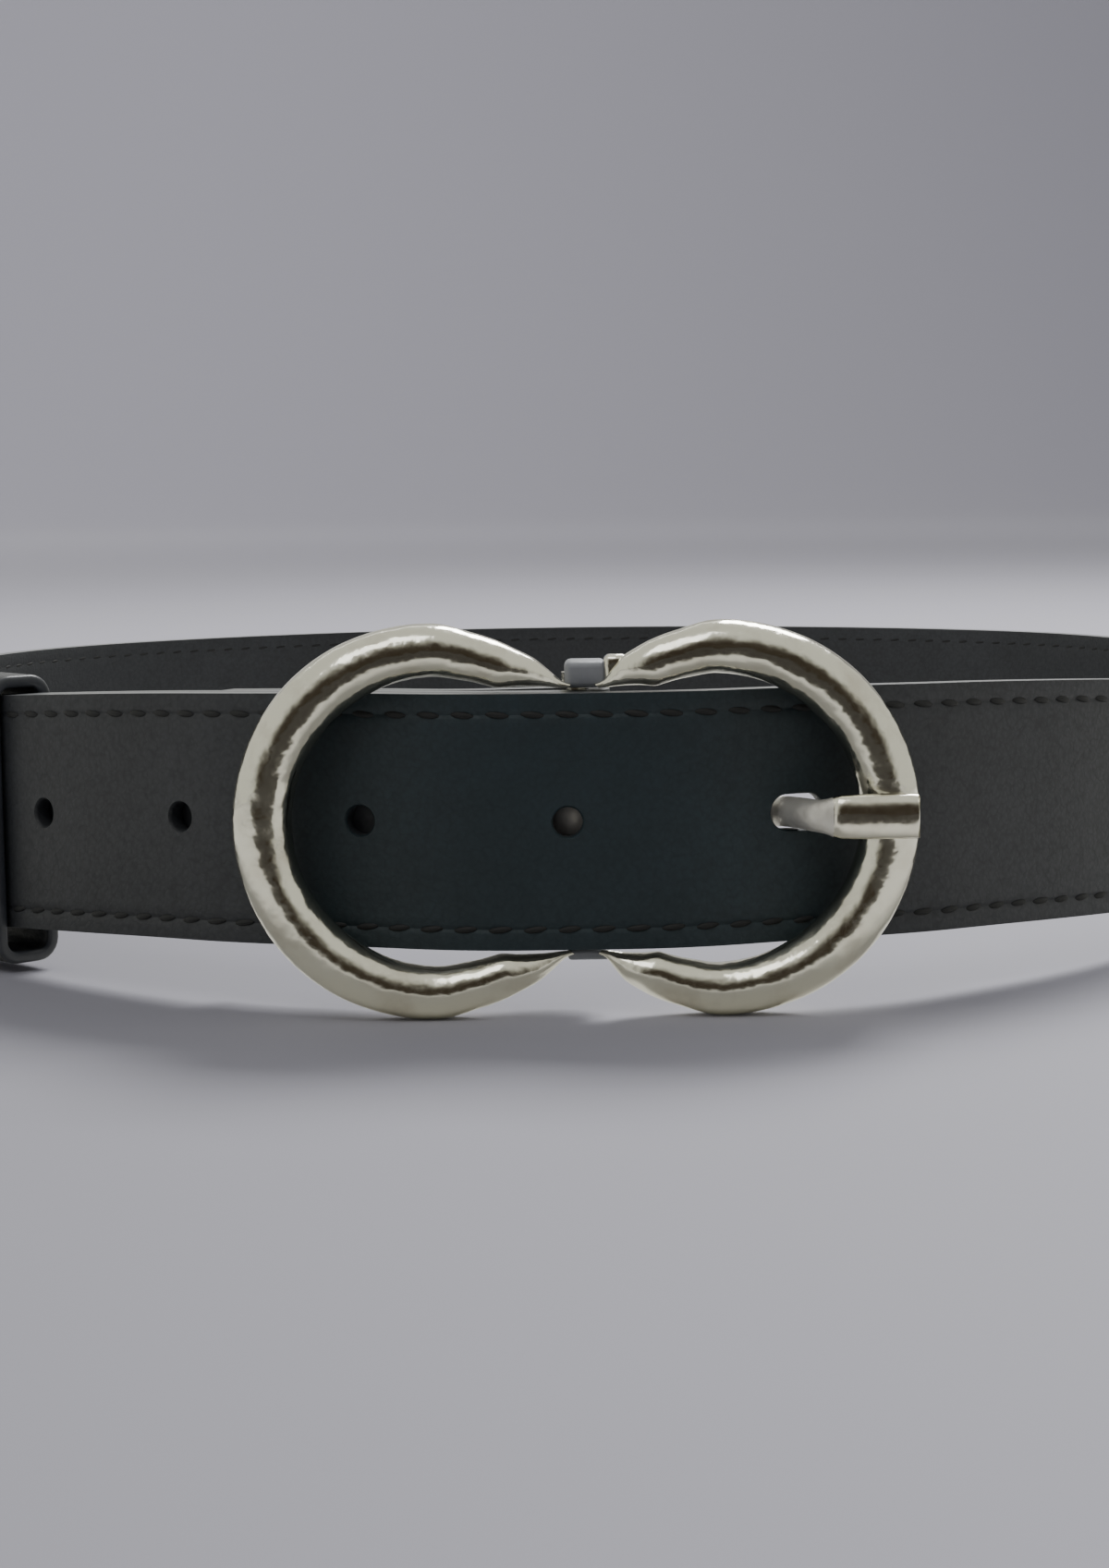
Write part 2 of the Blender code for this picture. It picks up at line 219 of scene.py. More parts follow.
def grain_group():
    """Leather grain: fine pebbles with soft creases, painted shade in their hollows, and a slow drift of
    tone.
    """
    g = bpy.data.node_groups.new("leather_grain", "ShaderNodeTree")
    group_socket(g, "Vector", "INPUT", "NodeSocketVector")
    group_socket(g, "Pebble size", "INPUT", "NodeSocketFloat", 1.0)
    group_socket(g, "Base", "INPUT", "NodeSocketColor", (0.03, 0.03, 0.03, 1.0))
    group_socket(g, "Lighter", "INPUT", "NodeSocketColor", (0.05, 0.05, 0.05, 1.0))
    group_socket(g, "Colour", "OUTPUT", "NodeSocketColor")
    group_socket(g, "Height", "OUTPUT", "NodeSocketFloat")
    group_socket(g, "Roughness", "OUTPUT", "NodeSocketFloat")
    i = g.nodes.new("NodeGroupInput")
    o = g.nodes.new("NodeGroupOutput")
    link = g.links.new

    size = node(g, "ShaderNodeVectorMath", operation="SCALE")
    link(i.outputs["Vector"], size.inputs[0])
    link(i.outputs["Pebble size"], size.inputs["Scale"])
    wobble = node(g, "ShaderNodeTexNoise", Scale=900.0, Detail=2.0)
    link(size.outputs[0], wobble.inputs["Vector"])
    shift = node(g, "ShaderNodeMix", data_type="VECTOR", factor_mode="UNIFORM")
    shift.inputs[0].default_value = 0.0012
    link(size.outputs[0], shift.inputs[4])
    link(wobble.outputs["Color"], shift.inputs[5])
    pebble = node(g, "ShaderNodeTexVoronoi", feature="SMOOTH_F1", Scale=1500.0, Smoothness=0.35,
                  Randomness=0.95)
    link(shift.outputs[1], pebble.inputs["Vector"])
    crease = node(g, "ShaderNodeTexVoronoi", feature="DISTANCE_TO_EDGE", Scale=620.0)
    link(shift.outputs[1], crease.inputs["Vector"])
    crease_mask = node(g, "ShaderNodeMapRange")
    crease_mask.inputs[1].default_value, crease_mask.inputs[2].default_value = 0.0, 0.10
    link(crease.outputs["Distance"], crease_mask.inputs[0])
    fine = node(g, "ShaderNodeTexNoise", Scale=5200.0, Detail=3.0)
    link(size.outputs[0], fine.inputs["Vector"])

    tops = node(g, "ShaderNodeMath", operation="MULTIPLY_ADD")
    tops.inputs[1].default_value, tops.inputs[2].default_value = -0.9, 0.9
    link(pebble.outputs["Distance"], tops.inputs[0])
    with_crease = node(g, "ShaderNodeMath", operation="MULTIPLY_ADD")
    with_crease.inputs[1].default_value = 0.22
    link(crease_mask.outputs[0], with_crease.inputs[0])
    link(tops.outputs[0], with_crease.inputs[2])
    height = node(g, "ShaderNodeMath", operation="MULTIPLY_ADD")
    height.inputs[1].default_value = 0.22
    link(fine.outputs["Fac"], height.inputs[0])
    link(with_crease.outputs[0], height.inputs[2])
    link(height.outputs[0], o.inputs["Height"])

    drift = node(g, "ShaderNodeTexNoise", Scale=26.0, Detail=3.0, Roughness=0.55)
    link(i.outputs["Vector"], drift.inputs["Vector"])
    mottle = node(g, "ShaderNodeTexNoise", Scale=240.0, Detail=4.0, Roughness=0.6)
    link(i.outputs["Vector"], mottle.inputs["Vector"])
    both = node(g, "ShaderNodeMath", operation="MULTIPLY_ADD")
    both.inputs[1].default_value = 0.45
    link(mottle.outputs["Fac"], both.inputs[0])
    link(drift.outputs["Fac"], both.inputs[2])
    tone = node(g, "ShaderNodeMapRange")
    tone.inputs[1].default_value, tone.inputs[2].default_value = 0.52, 0.98
    link(both.outputs[0], tone.inputs[0])
    colour = node(g, "ShaderNodeMix", data_type="RGBA")
    link(tone.outputs[0], colour.inputs[0])
    link(i.outputs["Base"], colour.inputs[6])
    link(i.outputs["Lighter"], colour.inputs[7])
    # painted shade: the grain's hollows and creases are darkened, the pebble tops a little lightened
    hollow_shade = node(g, "ShaderNodeMapRange")
    hollow_shade.inputs[1].default_value, hollow_shade.inputs[2].default_value = 0.25, 0.95
    hollow_shade.inputs[3].default_value, hollow_shade.inputs[4].default_value = 0.84, 1.05
    link(with_crease.outputs[0], hollow_shade.inputs[0])
    shaded = node(g, "ShaderNodeMix", data_type="RGBA", blend_type="MULTIPLY")
    shaded.inputs[0].default_value = 1.0
    link(colour.outputs[2], shaded.inputs[6])
    link(hollow_shade.outputs[0], shaded.inputs[7])
    link(shaded.outputs[2], o.inputs["Colour"])

    rough = node(g, "ShaderNodeMapRange")
    rough.inputs[1].default_value, rough.inputs[2].default_value = 0.2, 1.2
    rough.inputs[3].default_value, rough.inputs[4].default_value = 0.66, 0.50
    link(height.outputs[0], rough.inputs[0])
    link(rough.outputs[0], o.inputs["Roughness"])
    return g


def plate_group():
    """Polished casting: shallow hollows that bend the reflections, hairlines, a warm drift of tone."""
    g = bpy.data.node_groups.new("polished_plate", "ShaderNodeTree")
    group_socket(g, "Vector", "INPUT", "NodeSocketVector")
    group_socket(g, "Colour", "INPUT", "NodeSocketColor", (0.8, 0.78, 0.72, 1.0))
    group_socket(g, "Darker", "INPUT", "NodeSocketColor", (0.6, 0.57, 0.5, 1.0))
    group_socket(g, "Colour", "OUTPUT", "NodeSocketColor")
    group_socket(g, "Height", "OUTPUT", "NodeSocketFloat")
    group_socket(g, "Roughness", "OUTPUT", "NodeSocketFloat")
    i = g.nodes.new("NodeGroupInput")
    o = g.nodes.new("NodeGroupOutput")
    link = g.links.new
    hollow = node(g, "ShaderNodeTexNoise", Scale=300.0, Detail=2.5, Roughness=0.5)
    link(i.outputs["Vector"], hollow.inputs["Vector"])
    dents = node(g, "ShaderNodeTexVoronoi", feature="SMOOTH_F1", Scale=520.0, Smoothness=0.9)
    link(i.outputs["Vector"], dents.inputs["Vector"])
    height = node(g, "ShaderNodeMath", operation="MULTIPLY_ADD")
    height.inputs[1].default_value = 0.35
    link(dents.outputs["Distance"], height.inputs[0])
    link(hollow.outputs["Fac"], height.inputs[2])
    link(height.outputs[0], o.inputs["Height"])
    tarnish = node(g, "ShaderNodeTexNoise", Scale=120.0, Detail=5.0, Roughness=0.6)
    link(i.outputs["Vector"], tarnish.inputs["Vector"])
    amount = node(g, "ShaderNodeMapRange")
    amount.inputs[1].default_value, amount.inputs[2].default_value = 0.50, 0.80
    link(tarnish.outputs["Fac"], amount.inputs[0])
    colour = node(g, "ShaderNodeMix", data_type="RGBA")
    link(amount.outputs[0], colour.inputs[0])
    link(i.outputs["Colour"], colour.inputs[6])
    link(i.outputs["Darker"], colour.inputs[7])
    link(colour.outputs[2], o.inputs["Colour"])
    hair = node(g, "ShaderNodeTexNoise", Scale=1500.0, Detail=4.0, Roughness=0.7)
    link(i.outputs["Vector"], hair.inputs["Vector"])
    rough = node(g, "ShaderNodeMapRange")
    rough.inputs[1].default_value, rough.inputs[2].default_value = 0.35, 0.75
    rough.inputs[3].default_value, rough.inputs[4].default_value = 0.12, 0.24
    link(hair.outputs["Fac"], rough.inputs[0])
    link(rough.outputs[0], o.inputs["Roughness"])
    return g


GRAIN = grain_group()
PLATE = plate_group()


def blank(name):
    mat = bpy.data.materials.new(name)
    mat.use_nodes = True
    return mat, mat.node_tree, mat.node_tree.nodes["Principled BSDF"]


def leather(name, base, lighter, bump=0.35, pebble=1.0, coat=0.05, shade_span=None):
    mat, tree, shader = blank(name)
    uv = node(tree, "ShaderNodeUVMap", uv_map="flat")
    g = node(tree, "ShaderNodeGroup", node_tree=GRAIN)
    g.inputs["Base"].default_value = (*base, 1.0)
    g.inputs["Lighter"].default_value = (*lighter, 1.0)
    g.inputs["Pebble size"].default_value = pebble
    tree.links.new(uv.outputs[0], g.inputs["Vector"])
    b = node(tree, "ShaderNodeBump", Strength=bump, Distance=0.00012)
    tree.links.new(g.outputs["Height"], b.inputs["Height"])
    colour = g.outputs["Colour"]
    if shade_span:
        colour = shade_stretch(tree, uv.outputs[0], colour, *shade_span)
    tree.links.new(colour, shader.inputs["Base Color"])
    tree.links.new(g.outputs["Roughness"], shader.inputs["Roughness"])
    tree.links.new(b.outputs[0], shader.inputs["Normal"])
    shader.inputs["Specular IOR Level"].default_value = 0.42
    shader.inputs["Coat Weight"].default_value = coat
    shader.inputs["Coat Roughness"].default_value = 0.45
    return mat


# painted shade on the strap's outer face inside the buckle: its tint, and the fade at each end in mm
SHADE_TINT, HALF_FADE = (0.48, 0.80, 0.88, 1.0), 6.0


def shade_stretch(tree, vector, colour, start, end):
    """Painted shade: a darker and cooler tone of the outer face between two lengths of the strap, where
    it lies inside the buckle, with faded ends.
    """
    along = node(tree, "ShaderNodeSeparateXYZ")
    tree.links.new(vector, along.inputs[0])
    masks = []
    for edge, turn in ((start, 1.0), (end, -1.0)):
        fade = node(tree, "ShaderNodeMapRange", interpolation_type="SMOOTHSTEP")
        fade.inputs[1].default_value = (edge - turn * HALF_FADE) * MM
        fade.inputs[2].default_value = (edge + turn * HALF_FADE) * MM
        tree.links.new(along.outputs["X"], fade.inputs[0])
        masks.append(fade)
    both = node(tree, "ShaderNodeMath", operation="MULTIPLY")
    tree.links.new(masks[0].outputs[0], both.inputs[0])
    tree.links.new(masks[1].outputs[0], both.inputs[1])
    outer = node(tree, "ShaderNodeMath", operation="LESS_THAN")
    outer.inputs[1].default_value = INNER_UV / 2.0
    tree.links.new(along.outputs["Y"], outer.inputs[0])
    shown = node(tree, "ShaderNodeMath", operation="MULTIPLY")
    tree.links.new(both.outputs[0], shown.inputs[0])
    tree.links.new(outer.outputs[0], shown.inputs[1])
    tint = node(tree, "ShaderNodeMix", data_type="RGBA", blend_type="MULTIPLY")
    tree.links.new(shown.outputs[0], tint.inputs[0])
    tree.links.new(colour, tint.inputs[6])
    tint.inputs[7].default_value = SHADE_TINT
    return tint.outputs[2]


def edge_paint(name, colour):
    mat, tree, shader = blank(name)
    place = node(tree, "ShaderNodeTexCoord")
    wave = node(tree, "ShaderNodeTexNoise", Scale=700.0, Detail=3.0)
    tree.links.new(place.outputs["Object"], wave.inputs["Vector"])
    tone = node(tree, "ShaderNodeMix", data_type="RGBA")
    tone.inputs[6].default_value = (*[c * 0.75 for c in colour], 1.0)
    tone.inputs[7].default_value = (*[min(c * 1.3, 1.0) for c in colour], 1.0)
    tree.links.new(wave.outputs["Fac"], tone.inputs[0])
    tree.links.new(tone.outputs[2], shader.inputs["Base Color"])
    rough = node(tree, "ShaderNodeMapRange")
    rough.inputs[3].default_value, rough.inputs[4].default_value = 0.30, 0.44
    tree.links.new(wave.outputs["Fac"], rough.inputs[0])
    tree.links.new(rough.outputs[0], shader.inputs["Roughness"])
    b = node(tree, "ShaderNodeBump", Strength=0.25, Distance=0.00008)
    tree.links.new(wave.outputs["Fac"], b.inputs["Height"])
    tree.links.new(b.outputs[0], shader.inputs["Normal"])
    return mat


def plate(name, colour, darker, bump, dull=0.0, metallic=1.0):
    mat, tree, shader = blank(name)
    place = node(tree, "ShaderNodeTexCoord")
    g = node(tree, "ShaderNodeGroup", node_tree=PLATE)
    g.inputs["Colour"].default_value = (*colour, 1.0)
    g.inputs["Darker"].default_value = (*darker, 1.0)
    tree.links.new(place.outputs["Object"], g.inputs["Vector"])
    b = node(tree, "ShaderNodeBump", Strength=bump, Distance=0.0004)
    tree.links.new(g.outputs["Height"], b.inputs["Height"])
    tree.links.new(g.outputs["Colour"], shader.inputs["Base Color"])
    duller = node(tree, "ShaderNodeMath", operation="ADD")
    duller.inputs[1].default_value = dull
    tree.links.new(g.outputs["Roughness"], duller.inputs[0])
    tree.links.new(duller.outputs[0], shader.inputs["Roughness"])
    tree.links.new(b.outputs[0], shader.inputs["Normal"])
    shader.inputs["Metallic"].default_value = metallic
    return mat


def thread(name, colour):
    mat, tree, shader = blank(name)
    place = node(tree, "ShaderNodeTexCoord")
    twist = node(tree, "ShaderNodeTexNoise", Scale=3500.0, Detail=3.0)
    tree.links.new(place.outputs["Object"], twist.inputs["Vector"])
    tone = node(tree, "ShaderNodeMix", data_type="RGBA")
    tone.inputs[6].default_value = (*[c * 0.6 for c in colour], 1.0)
    tone.inputs[7].default_value = (*[c * 1.6 for c in colour], 1.0)
    tree.links.new(twist.outputs["Fac"], tone.inputs[0])
    tree.links.new(tone.outputs[2], shader.inputs["Base Color"])
    b = node(tree, "ShaderNodeBump", Strength=0.5, Distance=0.00006)
    tree.links.new(twist.outputs["Fac"], b.inputs["Height"])
    tree.links.new(b.outputs[0], shader.inputs["Normal"])
    shader.inputs["Roughness"].default_value = 0.7
    return mat


# the strap's outer face is painted darker and cooler inside the buckle: painted shade
STRAP_LEATHER = leather("strap_leather_grain", (0.0235, 0.0257, 0.0288), (0.039, 0.0422, 0.0465),
                        shade_span=(AT_BAR - 32.0, AT_BAR + 34.0))
KEEPER_LEATHER = leather("keeper_leather_grain", (0.0225, 0.0250, 0.0275), (0.038, 0.041, 0.044),
                         pebble=1.1)
# the strap's edge is lighter than its leather: partly edge paint, partly a painted highlight along the
# rounded edge
STRAP_EDGE_PAINT_AND_HIGHLIGHT = edge_paint("strap_edge_paint_and_highlight", (0.118, 0.124, 0.128))
KEEPER_EDGE_PAINT = edge_paint("keeper_edge_paint", (0.042, 0.046, 0.054))
THREAD = thread("stitch_thread", (0.0045, 0.005, 0.006))
RING_PLATE = plate("ring_plate", (0.70, 0.685, 0.60), (0.50, 0.46, 0.385), 0.60)
# the webs get a darker, duller copy of the ring's metal: painted shade, as they sit back between the
# rings
WEB_SHADED_PLATE = plate("web_plate_painted_shade", (0.270, 0.280, 0.295), (0.20, 0.21, 0.22), 0.30, 0.40, 0.35)
# the prong's neck gets a lighter, less metallic copy of its plate: painted light where it lies in the
# hole's shade, with a satin finish
NECK_LIT_PLATE = plate("prong_neck_lit_plate", (0.74, 0.72, 0.66), (0.52, 0.49, 0.43), 0.80, 0.30, 0.6)
PRONG_PLATE = plate("prong_plate", (0.70, 0.68, 0.60), (0.50, 0.46, 0.39), 0.30)


# Piece helpers

METAL_SHARP = 50.0                           # degrees from which a metal edge is shown sharp


def piece(bm, name, materials, node_name=None, sharp=42.0):
    bmesh.ops.recalc_face_normals(bm, faces=bm.faces)
    for f in bm.faces:
        f.smooth = True
    for e in bm.edges:
        if len(e.link_faces) == 2 and e.calc_face_angle(0.0) > math.radians(sharp):
            e.smooth = False
    mesh = bpy.data.meshes.new(name)
    bm.to_mesh(mesh)
    bm.free()
    obj = bpy.data.objects.new(name, mesh)
    bpy.context.scene.collection.objects.link(obj)
    for mat in materials:
        mesh.materials.append(mat)
    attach(obj, "root")
    if node_name:
        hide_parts(node_name)
    return obj


def scratch(bm, name):
    mesh = bpy.data.meshes.new(name)
    bm.to_mesh(mesh)
    bm.free()
    obj = bpy.data.objects.new(name, mesh)
    bpy.context.scene.collection.objects.link(obj)
    return obj


def carve(body, cutters, operation):
    """Exact booleans, one after another; the result comes back as a bmesh and the objects go."""
    for cutter in cutters:
        mod = body.modifiers.new("cut", "BOOLEAN")
        mod.object, mod.operation, mod.solver = cutter, operation, "EXACT"
    bpy.context.view_layer.update()
    graph = bpy.context.evaluated_depsgraph_get()
    mesh = bpy.data.meshes.new_from_object(body.evaluated_get(graph))
    bm = bmesh.new()
    bm.from_mesh(mesh)
    bmesh.ops.remove_doubles(bm, verts=bm.verts, dist=1e-7)
    for obj in [body, *cutters]:
        bpy.data.objects.remove(obj, do_unlink=True)
    bpy.data.meshes.remove(mesh)
    return bm


# Strap: cut flat, rounded along its edges, punched, then bent

# Columns from the middle to the edge, close together at the sewn channel
ACROSS = (0.0, 2.6, 5.2, 7.6, 9.6, 11.1, 12.05, 12.3, 12.55, 12.8, 13.05, 13.8, HALF_W)
ROW_STEP, FOLD_STEP = 1.7, 0.55              # between rows of vertices, and the same round the fold
BEFORE_FOLD, AFTER_FOLD = 2.0, 11.0
TIP_ROWS = 20
LEAST_SHARE = 0.10                           # of the half width, at the very tip
EDGE_ROUND = 0.85
PAINT_AND_HIGHLIGHT_W = 0.86                               # width of the lighter edge band, edge paint and painted highlight, seen on the face
CHANNEL_DEEP, CHANNEL_W = 0.20, 0.32
BESIDE_HIGH, BESIDE_AT, BESIDE_W = 0.035, 0.9, 0.5
INNER_CHANNEL = 0.3                          # share of the channel's depth on the inner face
SLOT_CORNER, SLOT_CUTS = 1.6, 24
HOLE_FLARE = (
    # height in the leather, more than the hole's radius
    (-1.6, 0.42),
    (-1.2, 0.22),
    (-0.98, 0.05),
    (-0.7, 0.0),
    (0.7, 0.0),
    (0.98, 0.05),
    (1.2, 0.22),
    (1.6, 0.42),
)


def stations():
    """Lengths at which the flat strap gets a row of vertices."""
    out, u = [], 0.0
    while u < TOTAL - HALF_W:
        out.append(u)
        u += FOLD_STEP if WRAP_START - BEFORE_FOLD < u < WRAP_START + AFTER_FOLD else ROW_STEP
    for k in range(TIP_ROWS + 1):
        out.append(TOTAL - HALF_W * (1.0 - math.sin(math.pi / 2.0 * k / TIP_ROWS)))
    return out


def tip_share(u):
    """Half width at length u as a share of the full one."""
    d = (TOTAL - u) / HALF_W
    if d >= 1.0:
        return 1.0
    return max(math.sqrt(max(d * (2.0 - d), 0.0)), LEAST_SHARE)


def plug(u, length, width, rise=0.0):
    """Hole cutter with flared mouths, upright in the flat strap's thickness."""
    bm = bmesh.new()
    r = width / 2.0
    verts = [bm.verts.new((r + more, 0.0, z)) for z, more in HOLE_FLARE]
    edges = [bm.edges.new((a, b)) for a, b in zip(verts, verts[1:])]
    bmesh.ops.spin(bm, geom=verts + edges, cent=(0, 0, 0), axis=(0, 0, 1), angle=2.0 * math.pi, steps=40,
                   use_merge=True, use_duplicate=False)
    bmesh.ops.remove_doubles(bm, verts=bm.verts, dist=1e-5)
    bmesh.ops.holes_fill(bm, edges=[e for e in bm.edges if e.is_boundary], sides=0)
    for v in bm.verts:
        side = 1.0 if v.co.x > 1e-6 else -1.0 if v.co.x < -1e-6 else 0.0
        v.co.x += u + (length - width) / 2.0 * side
        v.co.y += rise
    bmesh.ops.recalc_face_normals(bm, faces=bm.faces)
    return scratch(bm, "plug")


def strap_piece():
    rows = stations()
    cols = [-v for v in ACROSS[:0:-1]] + list(ACROSS)
    bm = bmesh.new()
    bmesh.ops.create_grid(bm, x_segments=len(rows) - 1, y_segments=len(cols) - 1, size=0.5)
    for v in bm.verts:
        i = round((v.co.x + 0.5) * (len(rows) - 1))
        j = round((v.co.y + 0.5) * (len(cols) - 1))
        v.co = Vector((rows[i], cols[j] * tip_share(rows[i]), -HALF_T))
    top = bm.faces[:]
    made = bmesh.ops.extrude_face_region(bm, geom=top)
    lifted = [g for g in made["geom"] if isinstance(g, bmesh.types.BMVert)]
    bmesh.ops.translate(bm, verts=lifted, vec=(0.0, 0.0, STRAP_T))
    bmesh.ops.recalc_face_normals(bm, faces=bm.faces)
    rim = [e for e in bm.edges if len(e.link_faces) == 2 and e.calc_face_angle(0.0) > math.radians(60)
           and abs(e.verts[0].co.z - e.verts[1].co.z) < 0.01]
    bmesh.ops.bevel(bm, geom=rim, offset=EDGE_ROUND, offset_type="OFFSET", segments=4, profile=0.5,
                    affect="EDGES", material=-1, clamp_overlap=True)
    # sewn channel: the leather is pulled in along the stitch line, and stands up a little beside it
    straight = TOTAL - HALF_W - 1.0
    for v in bm.verts:
        if abs(abs(v.co.z) - HALF_T) > 1e-4 or v.co.x > straight:
            continue
        d = abs(abs(v.co.y) - (HALF_W - STITCH_IN))
        pull = CHANNEL_DEEP * math.exp(-(d / CHANNEL_W) ** 2)
        pull -= BESIDE_HIGH * math.exp(-((d - BESIDE_AT) / BESIDE_W) ** 2)
        pull *= 1.0 if v.co.z < 0.0 else INNER_CHANNEL
        pull *= ease((straight - v.co.x) / 12.0) * ease(v.co.x / 4.0)
        v.co.z -= math.copysign(pull, v.co.z)
    body = scratch(bm, "flat_strap")
    cutters = [plug(AT_BAR - HOLE_IN_USE, *PRONG_HOLE)]
    cutters += [plug(AT_BAR + HOLE_FIRST + k * HOLE_STEP, HOLE_D, HOLE_D) for k in range(4)]
    slot = bmesh.new()
    bmesh.ops.create_cube(slot, size=1.0)
    start = WRAP_START - 2.0 * WRAP_R
    end = WRAP_START + math.pi * WRAP_R + 2.0 * WRAP_R
    for v in slot.verts:
        v.co = Vector(((start + end) / 2.0 + v.co.x * (end - start), v.co.y * SLOT_W, v.co.z * 6.0))
    bmesh.ops.bevel(slot, geom=[e for e in slot.edges if abs(e.verts[0].co.z - e.verts[1].co.z) > 1.0],
                    offset=SLOT_CORNER, segments=6, profile=0.5, affect="EDGES", material=-1)
    long_edges = [e for e in slot.edges if abs(e.verts[0].co.x - e.verts[1].co.x) > 4.0]
    bmesh.ops.subdivide_edges(slot, edges=long_edges, cuts=SLOT_CUTS)
    cutters.append(scratch(slot, "slot"))
    bm = carve(body, cutters, "DIFFERENCE")
    flat = bm.loops.layers.uv.new("flat")
    for f in bm.faces:
        middle = f.calc_center_median()
        from_edge = HALF_W * tip_share(middle.x) - abs(middle.y)
        f.material_index = 1 if from_edge < PAINT_AND_HIGHLIGHT_W and abs(f.normal.z) < 0.99 else 0
        side = 0.0 if f.normal.z < 0.0 else INNER_UV
        for loop in f.loops:
            co = loop.vert.co
            loop[flat].uv = (co.x * MM, co.y * MM + side + (co.z * MM if abs(f.normal.z) < 0.5 else 0.0))
    bend(bm)
    return piece(bm, "leather_strap", [STRAP_LEATHER, STRAP_EDGE_PAINT_AND_HIGHLIGHT], "strap")


STITCH_LONG, STITCH_HALF_W, STITCH_HALF_T = 2.95, 0.42, 0.30
TIP_STITCH_LONG = 2.9
STITCH_SLANT = 7.0                           # degrees against the edge
FIRST_STITCH = 3.0
WANDER_Y, WANDER_TURN, WANDER_LONG = 0.06, 0.08, 0.25
DIP, END_DIP = 0.06, 0.24                    # into the leather, in the middle and at the ends
INNER_STITCH = 0.6                           # the inner stitches are flatter and thinner
ROW_GAP = 10.0                               # between the threads before they are laid


def stitch_places():
    """Both stitch lines on each face, carried round the tip: x, y, face, turn and length."""
    line_y = HALF_W - STITCH_IN
    straight = TOTAL - HALF_W - 1.0
    turns = int(math.pi * line_y / STITCH_PITCH)
    places = []
    for face in (-1.0, 1.0):
        for row in (-1.0, 1.0):
            for k in range(int((straight - FIRST_STITCH) / STITCH_PITCH)):
                wander = noise.noise(Vector((len(places) * 0.37, face, row)))
                places.append((FIRST_STITCH + k * STITCH_PITCH, row * line_y + wander * WANDER_Y, face,
                               math.radians(STITCH_SLANT * row) + wander * WANDER_TURN,
                               STITCH_LONG + wander * WANDER_LONG))
        for k in range(1, turns):
            a = math.pi * (k / turns - 0.5)
            places.append((TOTAL - HALF_W + line_y * math.cos(a), line_y * math.sin(a), face,
                           a + math.pi / 2.0, TIP_STITCH_LONG))
    return places


def stitch_piece():
    """A row of short threads, each carried to its place and dipping into the leather at both ends."""
    places = stitch_places()
    one = bmesh.new()
    bmesh.ops.create_uvsphere(one, u_segments=8, v_segments=6, radius=1.0)
    row = scratch(one, "stitch_row")
    mod = row.modifiers.new("repeat", "ARRAY")
    mod.use_relative_offset, mod.use_constant_offset = False, True
    mod.constant_offset_displace = (ROW_GAP, 0.0, 0.0)
    mod.count = len(places)
    bm = carve(row, [], "UNION")
    for v in bm.verts:
        k = min(max(int(v.co.x / ROW_GAP + 0.5), 0), len(places) - 1)
        x, y, face, turn, length = places[k]
        c, s = math.cos(turn), math.sin(turn)
        along, across, up = v.co.z, v.co.x - ROW_GAP * k, v.co.y
        full = 1.0 if face < 0.0 else INNER_STITCH
        a, b = along * length / 2.0, across * STITCH_HALF_W * full
        z = face * (HALF_T - DIP - END_DIP * abs(along) ** 2.5) + up * STITCH_HALF_T * full
        v.co = Vector((x + a * c - b * s, y + a * s + b * c, z))
    bend(bm)
    return piece(bm, "strap_stitching", [THREAD], sharp=180.0)


# Keeper: a strip taken round a rounded rectangle

KEEPER_SLACK, KEEPER_CORNER = 0.15, 2.2
KEEPER_STITCH, KEEPER_PULL = 4.6, 0.10       # pressed line from its middle, and how deep
KEEPER_EDGE = 0.55
KEEPER_PAINTED = 0.3
KEEPER_STEPS = 150


